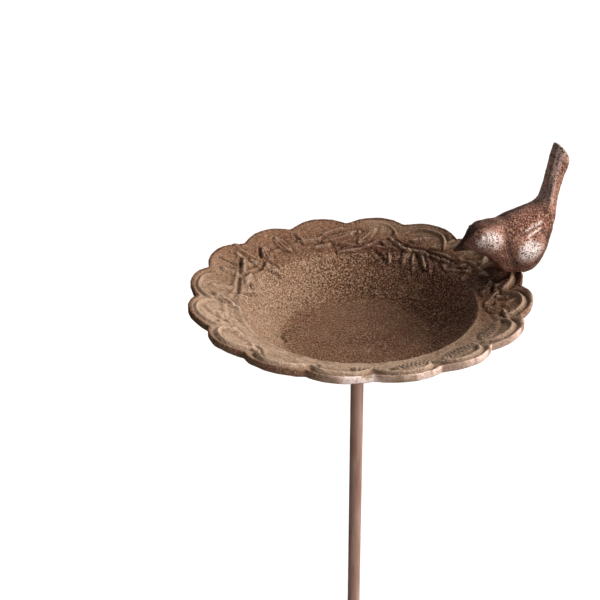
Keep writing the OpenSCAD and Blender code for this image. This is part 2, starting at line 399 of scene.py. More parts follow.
def add_leaf(relief, x, y, leaf, feather):
    """Lays a leaf over the relief: its edge, midrib and side veins, with a shallow groove around it."""
    near = np.hypot(x - leaf[0], y - leaf[1]) < leaf[3] / 2 + 4
    along, across, inset = leaf_shape(x[near], y[near], leaf)
    period, lean, veins = (2.8, 0.35, 2.0) if feather else (3.3, 1.0, 0.5)
    vein = 0.5 + 0.5 * np.cos(2 * math.pi * (along * leaf[3] - lean * np.abs(across)) / period)
    inside = smoothstep(inset / 1.3)
    blade = smoothstep((inset - 0.8) / 1.0) * (1 - hump(across, 1.0))
    midrib = 0.6 * hump(across, 0.95) * smoothstep((1 - along) * 5)
    height = 0.1 + 0.5 * hump(inset - 1.0, 1.0) + midrib
    height += blade * (vein**2 * veins - 0.55)
    halo = -0.45 * hump(inset + 1.0, 1.1)
    relief[near] = relief[near] * (1 - inside) + height * inside + halo * (1 - inside)


def vine_relief(x, y):
    """The vine on the flange: its stems, its leaves and the strokes that stand alone."""
    relief = stem_relief(x, y)
    for leaf in LEAVES:
        add_leaf(relief, x, y, leaf, False)
    for leaf in FEATHERS:
        add_leaf(relief, x, y, leaf, True)
    return 0.95 * relief + 1.1 * stroke_relief(x, y)


# The bead on the flange: how far inside the tips it runs, how far it swings in towards the
# notches, and how sharply
BEAD_INSET = 6.2
BEAD_SWING = 14.0
BEAD_POWER = 2.7


def bead_distance(r, theta):
    """Distance from the bead's middle line, positive outside it."""
    phase = np.abs(lobe_phase(theta))
    wobble = 0.5 * np.sin(3 * theta + 1.0) + 0.4 * np.sin(7 * theta)
    bead_r = TIP_R - (BEAD_INSET + wobble) - BEAD_SWING * phase**BEAD_POWER
    slope = BEAD_SWING * BEAD_POWER * phase ** (BEAD_POWER - 1) / (bead_r * LOBE_STEP / 2)
    return (r - bead_r) / np.sqrt(1 + slope**2)


def bead_relief(r, theta):
    """The bead that follows each lobe, the groove outside it and the lip at the edge."""
    off = bead_distance(r, theta)
    edge = edge_radius(theta) - r
    fade = 1 - 0.75 * smoothstep((np.abs(lobe_phase(theta)) - 0.8) / 0.2)
    fade = fade * (1 - 0.85 * arc_share(theta, 35, 60, BACK_LEFT))
    wide = 0.85 + 0.55 * arc_share(theta, 75, 120, FRONT_RIGHT)
    relief = 1.35 * wide * hump(off, wide) * fade
    relief -= (wide - 0.15) * hump(off - 1.9 * wide, wide) * fade * smoothstep((edge - 1.2) / 1.2)
    relief -= 0.35 * hump(off + 2.1, 1.1) * fade
    relief += 0.35 * hump(edge, 1.5)
    return relief


def dish_relief(x, y):
    """Height of the vine, the bead, the wall's top ridge and the mark above the plain top face."""
    r = np.hypot(x, y)
    theta = np.arctan2(y, x)
    vine = vine_relief(x, y)
    bead = bead_relief(r, theta)
    relief = np.where(np.abs(bead) > np.abs(vine), bead, vine) * 0.75 + 0.25 * (bead + vine)
    relief *= (0.95 + 0.55 * arc_share(theta, 70, 130)) * smoothstep((r - 66) / 8)
    relief += 0.6 * hump(r - 79.3, 1.3) * (1 - arc_share(theta, 45, 95))
    mark = curve_distance(x, y, MARK, 20)
    relief += 0.5 * hump(mark - 2.0, 0.9) - 1.3 * hump(mark, 1.0)
    return relief


# ---------------------------------------------------------------- dish: patina, wear, painted light and shade

def flange_patina_and_painted_light(x, y):
    """Painted light and shade over the flange's patina: darker towards the back right, with painted shade
    on its inner part there and a painted shadow under the bird, and lighter towards the front and on the
    back right edge.
    """
    r = np.hypot(x, y)
    dark = 0.33 + 0.53 * y / 95 + 0.22 * x / 95
    # Painted shade: the flange's inner part darkens towards the back right
    inward = np.clip((97 - r) / 14, -0.8, 1)
    dark = dark + 0.42 * inward * np.clip((0.5 * x + 0.8 * y) / 80, 0, 1)
    right_edge = arc_share(np.arctan2(y, x), 20, 40, BACK_RIGHT)
    dark = dark - 0.42 * smoothstep((r - 88) / 8) * right_edge
    # Painted shadow of the bird on the flange under it
    screw = np.array(SCREW_XY)
    bird_shadow = smoothstep((12 - path_distance(x, y, [0.8 * screw, 1.03 * screw])) / 4)
    return dark + 0.75 * bird_shadow


def patina_and_painted_shade(x, y):
    """How dark the top is painted, from about 0 at the flange's near side to 1 deep in the bowl:
    patina, mottled, with painted shade towards the wall's right side and the flange's painted light and
    shade.
    """
    r = np.hypot(x, y)
    # Painted shade: the wall darkens towards its right side, which faces away from the light; the floor
    # shifts a little
    wall = 0.68 + 0.38 * x / 65 + 0.02 * y / 65
    floor = 0.74 + 0.06 * x / 50 - 0.05 * y / 50
    in_bowl = smoothstep((78.4 - r) / 1.8)
    on_floor = smoothstep((53.5 - r) / 2.5)
    dark = flange_patina_and_painted_light(x, y) * (1 - in_bowl) + wall * (in_bowl - on_floor) + floor * on_floor
    dark += 0.12 * lattice_noise(flat_points(x, y), 30.0, 6)
    dark += 0.06 * lattice_noise(flat_points(x, y), 11.0, 7)
    return np.clip(dark, -0.3, 1.4)


def sand_grain(x, y):
    """How strongly the sand's grain shows: fully on the wall, less on the floor and the flange."""
    r = np.hypot(x, y)
    return 0.45 + 0.55 * smoothstep((80 - r) / 4) - 0.35 * smoothstep((55 - r) / 6)


def edge_wear_and_light(theta):
    """How much of the rim's edge is painted bright: worn paint, with painted light on the near right half
    of each lobe, which faces the light, and a chip at the front.
    """
    # Painted light: the right half of each lobe and the near right, which face the light, count as more
    # bare
    lit_half = smoothstep((lobe_phase(theta) + 0.5) / 0.5)
    near_right = arc_share(theta, 38, 58, BARE_AND_LIT_EDGE)
    chipped = 2.2 * hump(degrees_from(theta, CHIPPED_EDGE), 5.0)
    bare_and_lit = np.clip(0.05 + (0.25 + 0.75 * lit_half) * near_right + chipped, 0, 2)
    return bare_and_lit * (1 - arc_share(theta, 80, 115))


# ---------------------------------------------------------------- dish: mesh

def pad_blend(x, y, near, far):
    """1 within near of the bird's screw, falling to 0 at far from it."""
    distance = np.hypot(x - SCREW_XY[0], y - SCREW_XY[1])
    return 1 - smoothstep((distance - near) / (far - near))


def top_ring(r, theta):
    """Points of the dish's top face, and how high their relief is."""
    x, y = r * np.cos(theta), r * np.sin(theta)
    relief = dish_relief(x, y)
    cast = cast_surface(flat_points(x, y), (0.25, 9.0, 3), (0.16, 3.4, 4), (0.12, 1.8, 5))
    pad = pad_blend(x, y, 6.8, 9.5)
    slope = (inner_height(r + 0.05) - inner_height(r - 0.05)) / 0.1
    tilt = 1 / np.sqrt(1 + slope**2)
    lift = (relief + cast) * (1 - pad)
    z = inner_height(r) * (1 - pad) + lift * tilt
    shift = -lift * slope * tilt * (1 - pad) / np.maximum(r, 1)
    return np.stack([x * (1 + shift), y * (1 + shift), z], -1), relief * (1 - pad)


def under_ring(r, theta):
    """Points of the dish's underside."""
    x, y = r * np.cos(theta), r * np.sin(theta)
    cast = cast_surface(flat_points(x, y), (0.3, 11.0, 8), (0.15, 4.0, 9))
    cast *= smoothstep((r - 10) / 6)
    pad = pad_blend(x, y, 6.9, 8.0)
    z = outer_height(r) + cast
    z = z * (1 - pad) + np.minimum(z, PAD_SEAT_Z) * pad
    return np.stack([x, y, z], -1)


class DishSkin:
    """The dish's rings, from the middle of the bowl over the edge to the bore, and the values
    that its material reads at each point."""

    def __init__(self):
        self.rings = []
        self.values = {"relief": [], "worn_and_lit_edge": [], "patina_and_painted_shade": [], "grain": []}

    def put(self, points, *values):
        self.rings.append(points)
        for rows, value in zip(self.values.values(), values):
            rows.append(np.broadcast_to(value, len(points)).astype(float))

    def put_top(self, points, relief, worn_and_lit=0, dark=0):
        """A ring of the top face or the edge, whose patina and painted shade are at least as dark as given.
        """
        x, y = points[:, 0], points[:, 1]
        self.put(points, relief, worn_and_lit, np.maximum(patina_and_painted_shade(x, y), dark), sand_grain(x, y))

    def put_under(self, points, worn_and_lit=0):
        """A ring of the underside."""
        cloud = lattice_noise(points * [1, 1, 0], 26.0, 13)
        self.put(points, 0, worn_and_lit, 0.68 + 0.14 * cloud, 0.7)


def put_bowl(skin):
    """The bowl's floor, and its wall up to the flange."""
    for r in np.linspace(3, 45, FLOOR_RINGS):
        skin.put_top(*top_ring(np.full(COARSE, r), circle_angles(COARSE)))
    for r in np.linspace(46.5, FLANGE_INNER_R, WALL_RINGS):
        skin.put_top(*top_ring(np.full(MEDIUM, r), circle_angles(MEDIUM)))


def put_flange_and_edge(skin, theta, radius):
    """The flange up to its scalloped edge, and the edge down to the underside. The edge is worn and
    carries painted light at the near right, and painted shade darkens it at the back and the left."""
    bare_and_lit = edge_wear_and_light(theta)
    # Painted shade: the edge darkens at the back and the left
    dark = np.maximum(1.15 * arc_share(theta, 95, 125), 0.6 * arc_share(theta, 45, 62, LEFT))
    for u in np.linspace(0, 1, FLANGE_RINGS + 1)[1:]:
        r = FLANGE_INNER_R + (radius - CREST_INSET - FLANGE_INNER_R) * u
        rim = smoothstep((u - 0.95) / 0.03)
        skin.put_top(*top_ring(r, theta), rim * bare_and_lit, rim * dark)
    crest = skin.rings[-1][:, 2]
    rough = lattice_noise(circle_ring(radius, theta, crest), 6.0, 12)
    # How far each ring of the edge is set back, and how far it lies below the crest
    for back, drop in ((0.3, 0.25), (0.0, 0.9), (0.12, 2.4), (0.0, 4.0), (0.35, 4.7)):
        r = radius - back + 0.3 * rough * smoothstep(drop / 1.5)
        skin.put_top(circle_ring(r, theta, crest - drop), 0.2, bare_and_lit, dark)


def put_underside(skin, theta, radius):
    """The underside, from the edge in to its flat middle."""
    skin.put_under(under_ring(radius - EDGE_INSET, theta), 0.2)
    fewer = circle_angles(MEDIUM)
    outer = edge_radius(fewer) - EDGE_INSET
    for u in np.linspace(0, 1, UNDERSIDE_RINGS + 1)[1:]:
        skin.put_under(under_ring(outer * (1 - u) + UNDERSIDE_INNER_R * u, fewer))


def put_boss(skin):
    """The flat middle of the underside, the boss and its bore, as the radius and height of rings."""
    theta = circle_angles(COARSE)
    flat = ARC_CENTRE_Z - OUTER_ARC_R
    profile = [
        (21, flat), (16, flat), (13, flat), (11.2, flat - 0.15), (10.1, flat - 0.6),
        (BOSS_R, flat - 1.5), (BOSS_R, BOSS_Z + 0.8), (BOSS_R - 0.3, BOSS_Z + 0.2), (BOSS_R - 1, BOSS_Z),
        (BORE_R + 0.5, BOSS_Z), (BORE_R, BOSS_Z + 0.5), (BORE_R, BOSS_Z + BORE_DEPTH),
    ]
    for r, z in profile:
        skin.put_under(circle_ring(r, theta, z))


def build_dish():
    """The whole dish as one closed mesh, raised from the rim's plane to its place."""
    theta = circle_angles(FINE)
    radius = edge_radius(theta)
    skin = DishSkin()
    put_bowl(skin)
    put_flange_and_edge(skin, theta, radius)
    put_underside(skin, theta, radius)
    put_boss(skin)
    for ring in skin.rings:
        ring[:, 2] += RIM_Z
    mesh = lathe_mesh("dish_casting", skin.rings, skin.values.items())
    return add_piece(mesh, "dish_group", "cast_dish", "dish")


# ---------------------------------------------------------------- bird

# Stations from beak to tail: distance from the pole's axis and height above the rim for the
# back, the same for the belly, half the width, and how square the section is
BIRD_STATIONS = [
    (65.4, 19.4, 65.6, 18.2, 0.8, 2),
    (69.6, 23.0, 70.6, 18.2, 2.6, 2),
    (73.6, 28.0, 75.8, 18.4, 4.6, 2),
    (77.6, 32.6, 78.8, 17.8, 8.0, 2),
    (83.0, 35.8, 83.2, 15.6, 11.4, 2),
    (90.0, 37.0, 89.4, 10.8, 13.4, 2),
    (97.0, 38.0, 95.5, 4.8, 13.9, 2),
    (104.0, 40.2, 100.5, -0.8, 15.0, 2),
    (111.0, 42.0, 108.0, -3.6, 16.2, 2),
    (117.5, 43.6, 116.8, -3.8, 16.2, 2),
    (123.2, 45.2, 123.6, -1.0, 15.0, 2.05),
    (126.9, 48.4, 128.8, 7.0, 13.0, 2.1),
    (128.9, 52.2, 132.6, 17.0, 11.0, 2.1),
    (129.9, 56.2, 135.3, 28.5, 9.0, 2.3),
    (130.6, 60.4, 136.8, 39.6, 7.2, 2.6),
    (131.1, 64.8, 138.1, 49.8, 6.2, 3.0),
    (131.7, 69.4, 139.8, 58.4, 5.8, 3.2),
    (132.6, 74.2, 141.7, 65.0, 6.0, 3.2),
    (133.7, 79.0, 143.0, 68.8, 6.3, 3.2),
    (134.8, 82.6, 143.7, 71.4, 6.3, 3.2),
    (135.9, 85.2, 144.2, 73.6, 6.0, 3.2),
]
BIRD_RINGS = 230
BIRD_SIDES = 144
# How far the bird is turned from facing the pole
BIRD_TURN = math.radians(2.0)
# Past this radius, the belly hangs at most this far below the rim's plane
OVERHANG_R = 114.0
OVERHANG_DEPTH = 4.5
# Lines on the bird, as distance from the pole's axis and height above the rim
NECK_CREASE = [(97, 31), (97.5, 25), (100, 17), (104, 10)]
NECK_SHADE = [(97.5, 29), (98.5, 22), (102, 13), (107, 9)]
RUMP_SHADE = [(103, 10), (111, 6.5), (119, 7.5), (126, 16), (128, 27)]
BREAST = [(80, 21), (86, 16), (93, 10), (99, 3)]
WING_GROOVE = [(105, 29.5), (111, 30.5), (118, 34), (124, 40), (128, 47)]
WING_RIDGE = [(106, 33.5), (113, 34.6), (120, 38.5), (126, 45)]
WING_CUTS = [[(110, 30.5), (122, 34.2)], [(112.5, 27.6), (122, 31.4)]]
GAPE = [(65, 18.9), (72.5, 21.6), (77.5, 21.4)]
BEAK = [(64, 18.5), (76, 25)]
# The bright strokes on the wing, rubbed metal with painted highlights: how bright, how wide, and the line
WING_HIGHLIGHTS = [(1.1, 1.0, [(111, 32.4), (122.5, 36.6)]), (0.9, 0.9, [(113, 29.2), (121.5, 32.8)])]


def signed_power(value, power):
    """The power of a value's size, with the value's sign."""
    return np.sign(value) * np.abs(value) ** power


def bird_grid():
    """The plain lofted body: the distance, height and sideways place of each point of each ring,
    and how far each point lies towards the back and towards the side of its section."""
    stations = catmull_rom(BIRD_STATIONS, BIRD_RINGS)
    around = circle_angles(BIRD_SIDES)
    back_r, back_h, belly_r, belly_h, half, square = [stations[:, [k]] for k in range(6)]
    up = signed_power(np.cos(around), 2 / square)
    side = signed_power(np.sin(around), 2 / square)
    r = (back_r + belly_r) / 2 + (back_r - belly_r) / 2 * up
    h = (back_h + belly_h) / 2 + (back_h - belly_h) / 2 * up
    return np.stack([r, h, half * side], -1), np.broadcast_to(up, r.shape), np.broadcast_to(side, r.shape)


def grid_normals(grid):
    """Unit normals of a grid of rings, pointing outwards."""
    along = np.gradient(grid, axis=0)
    around = np.roll(grid, -1, 1) - np.roll(grid, 1, 1)
    normal = np.cross(along, around)
    normal /= np.maximum(np.linalg.norm(normal, axis=-1, keepdims=True), 1e-9)
    middle = grid.mean(1, keepdims=True)
    outward = np.sign(np.sum(normal * (grid - middle), -1).mean())
    return normal * outward


def bird_relief(grid, up, side):
    """Cheek, thigh, crease, wing, back ridge, eye, gape and tail feathers, above the plain body."""
    r, h = grid[..., 0], grid[..., 1]
    flank = np.abs(side)
    relief = 1.1 * hump(np.hypot(r - 87.5, (h - 26) * 1.1), 9.0) * flank
    relief += 2.2 * hump(np.hypot(r - 113.0, h - 17.0), 9.0) * flank
    relief -= 1.4 * hump(curve_distance(r, h, NECK_CREASE, 24), 2.4) * flank
    relief -= 0.8 * hump(curve_distance(r, h, WING_GROOVE, 30), 1.5) * flank
    relief += 0.8 * hump(curve_distance(r, h, WING_RIDGE, 24), 2.4) * flank
    for line in WING_CUTS:
        relief -= 0.9 * hump(path_distance(r, h, line), 0.9) * flank
    ridge = np.abs(up - 0.72) * np.maximum(grid[..., 2].max(1, keepdims=True), 3)
    relief += 0.5 * hump(ridge, 1.6) * smoothstep((r - 94) / 8)
    eye = np.hypot(r - 81.0, h - 30.0)
    relief += (0.7 * hump(eye, 1.3) - 0.5 * hump(eye - 2.3, 0.8)) * (flank > 0.3)
    relief -= 0.45 * hump(path_distance(r, h, GAPE), 0.55) * (flank > 0.25)
    tail = smoothstep((h - 44) / 14)
    relief += 0.35 * tail * (up > -0.6) * np.cos(2 * math.pi * grid[..., 2] / 3.2)
    relief -= 0.3 * tail * (np.abs(up) < 0.7) * hump(up, 0.2)
    return relief


def bird_wear_and_highlights(grid, up, side):
    """How much each point is painted bright: rubbed metal with painted highlights on the cheek, thigh,
    breast, wing, nape and the tail's corner, and painted light on the tail.
    """
    r, h = grid[..., 0], grid[..., 1]
    flank = smoothstep((np.abs(side) - 0.35) / 0.3)
    # Painted highlights over rubbed metal, where the cheek, thigh and breast bulge towards the light
    cheek = 1.1 * hump(np.hypot((r - 87.5) / 1.3, h - 27.5), 6.8)
    thigh = 1.3 * hump(np.hypot((r - 113.5) / 1.1, (h - 18.5) * 1.05), 8.6)
    breast = 0.45 * hump(curve_distance(r, h, BREAST, 20), 4.5)
    wing = sum(share * hump(path_distance(r, h, line), width) for share, width, line in WING_HIGHLIGHTS)
    # Painted highlights on the nape and the tail's corner
    nape = 0.4 * hump(np.hypot(r - 95.7, h - 38), 2.5)
    corner = 0.55 * hump(np.hypot(r - 142.5, h - 76), 2.6)
    # Painted light on the tail, most on its upper side, which lies away from the light
    tail = (0.28 + 0.30 * smoothstep((up + 0.1) / 0.6)) * smoothstep((h - 38) / 12)
    blotch = 1 + 0.5 * lattice_noise(grid, 4.5, 25)
    rubbed_and_highlit = (cheek + thigh + breast) * blotch + wing
    return np.clip(rubbed_and_highlit * flank + nape + corner + tail, 0, 1)


def far_edge_shade(up, side, r, h):
    """The dark strip along the far edge of the back and the tail."""
    across = side + 0.80 * smoothstep((h - 42) / 14)
    strip = smoothstep((up - 0.62) / 0.15) * smoothstep((across + 0.03) / 0.12)
    return strip * smoothstep((r - 96) / 8) * (1 - 0.8 * smoothstep((across - 0.5) / 0.2))


def bird_shade(grid, up, side):
    """How dark each point is painted: the face and beak are dark bronze, and the crown, the far edge of the
    back, the creases, the belly and the tail's tip carry painted shade.
    """
    r, h = grid[..., 0], grid[..., 1]
    face = hump(np.hypot(r - 75.5, h - 27), 7.8)
    # Painted shade on the crown, the far edge, the creases, the belly and the tail's tip
    crown = 0.5 * smoothstep((up - 0.80) / 0.15) * (1 - smoothstep((r - 98) / 8))
    far_edge = far_edge_shade(up, side, r, h)
    beak = hump(path_distance(r, h, BEAK), 5.0)
    crease = 0.55 * hump(curve_distance(r, h, NECK_SHADE, 24), 2.8)
    crease = crease + 0.85 * hump(curve_distance(r, h, RUMP_SHADE, 24), 2.2)
    belly = 0.7 * smoothstep((1 - h) / 5)
    tip = 0.8 * hump(np.hypot(r - 136.6, h - 82.5), 3.2)
    return np.clip(face + beak + crown + far_edge + crease * np.abs(side) + belly + tip, 0, 1)


def place_bird(grid):
    """From the bird's own distance, height and side to the shared frame, in millimetres."""
    screw_r = math.hypot(*SCREW_XY)
    turn = math.atan2(SCREW_XY[1], SCREW_XY[0]) + BIRD_TURN
    out, side = grid[..., 0] - screw_r, grid[..., 2]
    x = SCREW_XY[0] + out * math.cos(turn) - side * math.sin(turn)
    y = SCREW_XY[1] + out * math.sin(turn) + side * math.cos(turn)
    return np.stack([x, y, grid[..., 1]], -1)


def tail_end(ring):
    """Rings that round off the tail, each smaller and higher than the last."""
    inward = ring.mean(0) - ring
    lean = np.array([0.35, 1, 0])
    steps = ((0.06, 0.6), (0.25, 1.2), (0.6, 1.5))
    return np.array([ring + inward * shrink + lean * lift for shrink, lift in steps])


def rest_on_rim(points):
    """Keeps the belly on or above the rim's plane over the dish, and just below it outside."""
    distance = np.hypot(points[..., 0], points[..., 1])
    overhang = smoothstep((distance - OVERHANG_R) / 2.5)
    points[..., 2] = np.maximum(points[..., 2], -OVERHANG_DEPTH * overhang)


def build_bird():
    """The bird as one closed mesh, with the values that its material reads."""
    grid, up, side = bird_grid()
    relief = bird_relief(grid, up, side)
    values = {"relief": relief, "worn_and_lit": bird_wear_and_highlights(grid, up, side), "patina_and_painted_shade": bird_shade(grid, up, side)}
    rough = cast_surface(grid, (0.4, 9.0, 21), (0.25, 4.0, 22), (0.14, 1.9, 23))
    reach = smoothstep((np.arange(BIRD_RINGS) - 2) / 12)[:, None]
    grid = grid + grid_normals(grid) * ((relief + rough) * reach)[..., None]
    ends = tail_end(grid[-1])
    points = place_bird(np.concatenate([grid, ends]))
    rest_on_rim(points)
    points[..., 2] += RIM_Z
    attributes = [(name, list(np.concatenate([rows, np.repeat(rows[-1:], len(ends), 0)])))
                  for name, rows in values.items()]
    mesh = lathe_mesh("bird_casting", list(points), attributes)
    return add_piece(mesh, "dish_group", "cast_bird", "bird")


# ---------------------------------------------------------------- welds

BEAD_RINGS = 46
BEAD_SIDES = 28


def bead_rings(start, end, radius, ripple, seed):
    """Rings of a weld bead between two points, rounded at its ends, with ripples of one length."""
    start, end = np.array(start, float), np.array(end, float)
    length = np.linalg.norm(end - start)
    axis = (end - start) / length
    side = np.cross(axis, [0.0, 1.0, 0.2])
    side /= np.linalg.norm(side)
    other = np.cross(axis, side)
    around = circle_angles(BEAD_SIDES)
    section = np.cos(around)[:, None] * side + np.sin(around)[:, None] * other
    lean = 0.35 * np.cos(around)[:, None] * axis
    rings = []
    for s in np.linspace(0.02, 0.98, BEAD_RINGS):
        dome = math.sqrt(max(0.02, 1 - abs(2 * s - 1) ** 6))
        size = radius * dome * (1 + 0.05 * math.cos(2 * math.pi * (s * length / ripple)))
        ring = start + axis * s * length + size * section
        rings.append(ring + lean * size + 0.16 * lattice_noise(ring, 1.7, seed)[:, None] * side)
    return rings


def bead_meshes(runs, radius, ripple, first_seed):
    """A bead for each run, which is its start and its end."""
    return [lathe_mesh("bead", bead_rings(start, end, radius, ripple, first_seed + k))
            for k, (start, end) in enumerate(runs)]


def join_meshes(name, meshes):
    """One mesh of several, which are removed."""
    build = bmesh.new()
    for mesh in meshes:
        build.from_mesh(mesh)
        bpy.data.meshes.remove(mesh)
    joined = bpy.data.meshes.new(name)
    build.to_mesh(joined)
    build.free()
    joined.shade_smooth()
    return joined


def build_leg_welds():
    """A long bead on each side, where the fork's short leg lies against the pole."""
    low, high = [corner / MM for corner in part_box("leg_welds")]
    x = (low.x + high.x) / 2
    runs = [((x, y, low.z + 0.2), (x, y, high.z - 0.2)) for y in (low.y + 2.1, high.y - 2.1)]
    beads = bead_meshes(runs, 2.15, 1.5, 31)
    return add_piece(join_meshes("leg_weld_beads", beads), "stake", "welds", "leg_welds")


def build_arm_weld():
    """A short bead on each side of the fork's arm and one under it, against the pole."""
    low, high = [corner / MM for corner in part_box("arm_weld")]
    reach = min(-low.y, high.y) - 0.3
    z = (low.z + high.z) / 2 - 0.8
    runs = [((ROD_R + 0.3, side * (reach - 1.2), z - 1.6), (ROD_R + 0.9, side * (reach - 1.0), z + 2.4))
            for side in (-1, 1)]
    under = low.z + 1.7
    runs.append(((ROD_R + 0.6, -2.4, under), (ROD_R + 0.6, 2.4, under)))
    beads = bead_meshes(runs, 1.5, 1.3, 41)
    return add_piece(join_meshes("arm_weld_bead", beads), "stake", "welds", "arm_weld")


# ---------------------------------------------------------------- materials

# The colour sockets of a mix node, which share their names with its other kinds of socket
COLOUR_A, COLOUR_B, COLOUR_RESULT = 6, 7, 2


class Graph:
    """A material's node tree, with short calls for the nodes used here."""

    def __init__(self, name):
        self.material = bpy.data.materials.new(name)
        self.material.use_nodes = True
        self.tree = self.material.node_tree
        self.shader = self.tree.nodes["Principled BSDF"]
        self.place = self.tree.nodes.new("ShaderNodeTexCoord").outputs["Object"]

    def put(self, socket, value):
        """Links a socket's output to an input, or sets the input to a plain value."""
        if isinstance(value, bpy.types.NodeSocket):
            self.tree.links.new(value, socket)
        else:
            socket.default_value = value

    def noise(self, scale, detail=3.0, rough=0.55, stretch=(1, 1, 1)):
        """Noise over the object's own metres, so a scale of 1000 gives bumps about 1 mm across."""
        mapping = self.tree.nodes.new("ShaderNodeMapping")
        self.put(mapping.inputs["Vector"], self.place)
        mapping.inputs["Scale"].default_value = stretch
        texture = self.tree.nodes.new("ShaderNodeTexNoise")
        self.put(texture.inputs["Vector"], mapping.outputs["Vector"])
        texture.inputs["Scale"].default_value = scale
        texture.inputs["Detail"].default_value = detail
        texture.inputs["Roughness"].default_value = rough
        return texture.outputs["Fac"]

    def attribute(self, name):
        """The value that the mesh carries at each point under this name."""
        read = self.tree.nodes.new("ShaderNodeAttribute")
        read.attribute_name = name
        return read.outputs["Fac"]

    def span(self, value, low, high, to_low=0.0, to_high=1.0):
        """Maps the range low to high onto to_low to to_high, and holds it there."""
        remap = self.tree.nodes.new("ShaderNodeMapRange")
        for key, number in (("From Min", low), ("From Max", high), ("To Min", to_low), ("To Max", to_high)):
            remap.inputs[key].default_value = number
        self.put(remap.inputs["Value"], value)
        return remap.outputs["Result"]

    def calc(self, operation, a, b):
        node = self.tree.nodes.new("ShaderNodeMath")
        node.operation = operation
        self.put(node.inputs[0], a)
        self.put(node.inputs[1], b)
        return node.outputs["Value"]

    def mix(self, factor, a, b):
        """Colour a turning into colour b as the factor goes from 0 to 1."""
        node = self.tree.nodes.new("ShaderNodeMix")
        node.data_type = "RGBA"
        self.put(node.inputs["Factor"], factor)
        for key, value in ((COLOUR_A, a), (COLOUR_B, b)):
            self.put(node.inputs[key], value if isinstance(value, bpy.types.NodeSocket) else (*value, 1))
        return node.outputs[COLOUR_RESULT]

    def bump(self, height, distance, strength):
        """Shades the surface as if it rose by the height, times a distance in metres."""
        node = self.tree.nodes.new("ShaderNodeBump")
        node.inputs["Distance"].default_value = distance
        node.inputs["Strength"].default_value = strength
        self.put(node.inputs["Height"], height)
        self.put(self.shader.inputs["Normal"], node.outputs["Normal"])

    def finish(self, colour, roughness, metallic, specular=0.5):
        """Connects the shader and returns the material."""
        self.put(self.shader.inputs["Base Color"], colour)
        self.put(self.shader.inputs["Roughness"], roughness)
        self.shader.inputs["Metallic"].default_value = metallic
        self.shader.inputs["Specular IOR Level"].default_value = specular
        return self.material


def dish_patina_and_shade_colour(g, shade, relief):
    """Light brown to nearly black with the patina and its painted shade, mottled, dark in grooves with
    patina in the hollows and painted shade, and light on ridges with a painted highlight.
    """
    colour = g.mix(g.span(shade, -0.3, 0.1), (0.62, 0.43, 0.30), (0.37, 0.25, 0.17))
    colour = g.mix(g.span(shade, 0.1, 0.5), colour, (0.225, 0.113, 0.063))
    colour = g.mix(g.span(shade, 0.5, 1.0), colour, (0.108, 0.034, 0.016))
    colour = g.mix(g.span(shade, 1.0, 1.4), colour, (0.05, 0.016, 0.008))
    colour = g.mix(g.span(g.noise(75, 5, 0.65), 0.47, 0.60, 0.0, 0.45), colour, (0.19, 0.11, 0.055))
    colour = g.mix(g.span(g.noise(130, 3), 0.55, 0.70, 0.0, 0.4), colour, (0.32, 0.17, 0.11))
    # Darker in the grooves: patina in the hollows and painted shade
    colour = g.mix(g.span(relief, -0.15, -1.6, 0.0, 0.8), colour, (0.045, 0.02, 0.011))
    # Painted highlight on the ridges
    return g.mix(g.span(relief, 0.25, 1.2, 0.0, 0.5), colour, g.mix(0.5, colour, (0.80, 0.62, 0.49)))


def cast_dish_material():
    """Patina with painted shade, bare metal with painted light along the edge, and light and dark specks of
    sand grain.
    """
    g = Graph("cast_dish_patina_and_shade")
    grain = g.noise(880, 3, 0.6)
    lumps = g.noise(330, 3, 0.6)
    shade = g.attribute("patina_and_painted_shade")
    colour = dish_patina_and_shade_colour(g, shade, g.attribute("relief"))
    colour = g.mix(g.span(lumps, 0.46, 0.36, 0.0, 0.25), colour, (0.04, 0.018, 0.009))
    # Bare metal along the edge, worn and painted light
    worn_and_lit = g.calc("MULTIPLY", g.span(g.noise(95, 3), 0.36, 0.52), g.attribute("worn_and_lit_edge"))
    worn_and_lit = g.span(worn_and_lit, 0.0, 1.0)
    metal = g.mix(g.span(g.attribute("worn_and_lit_edge"), 0.9, 1.6), (0.76, 0.53, 0.45), (1.0, 0.80, 0.73))
    colour = g.mix(worn_and_lit, colour, metal)
    coarse = g.span(g.calc("SUBTRACT", shade, worn_and_lit), -0.1, 0.6, 0.5, 1.0)
    coarse = g.calc("MULTIPLY", coarse, g.attribute("grain"))
    light = g.calc("MULTIPLY", g.span(grain, 0.54, 0.60, 0.0, 0.75), coarse)
    dark = g.calc("MULTIPLY", g.span(grain, 0.49, 0.42, 0.0, 0.85), coarse)
    colour = g.mix(light, colour, g.mix(0.65, colour, (0.68, 0.47, 0.33)))
    colour = g.mix(dark, colour, (0.036, 0.016, 0.008))
    g.bump(g.calc("ADD", grain, g.calc("MULTIPLY", lumps, 1.2)), 0.0012, 0.9)
    return g.finish(colour, g.span(grain, 0.3, 0.7, 0.85, 0.6), 0.0, 0.12)


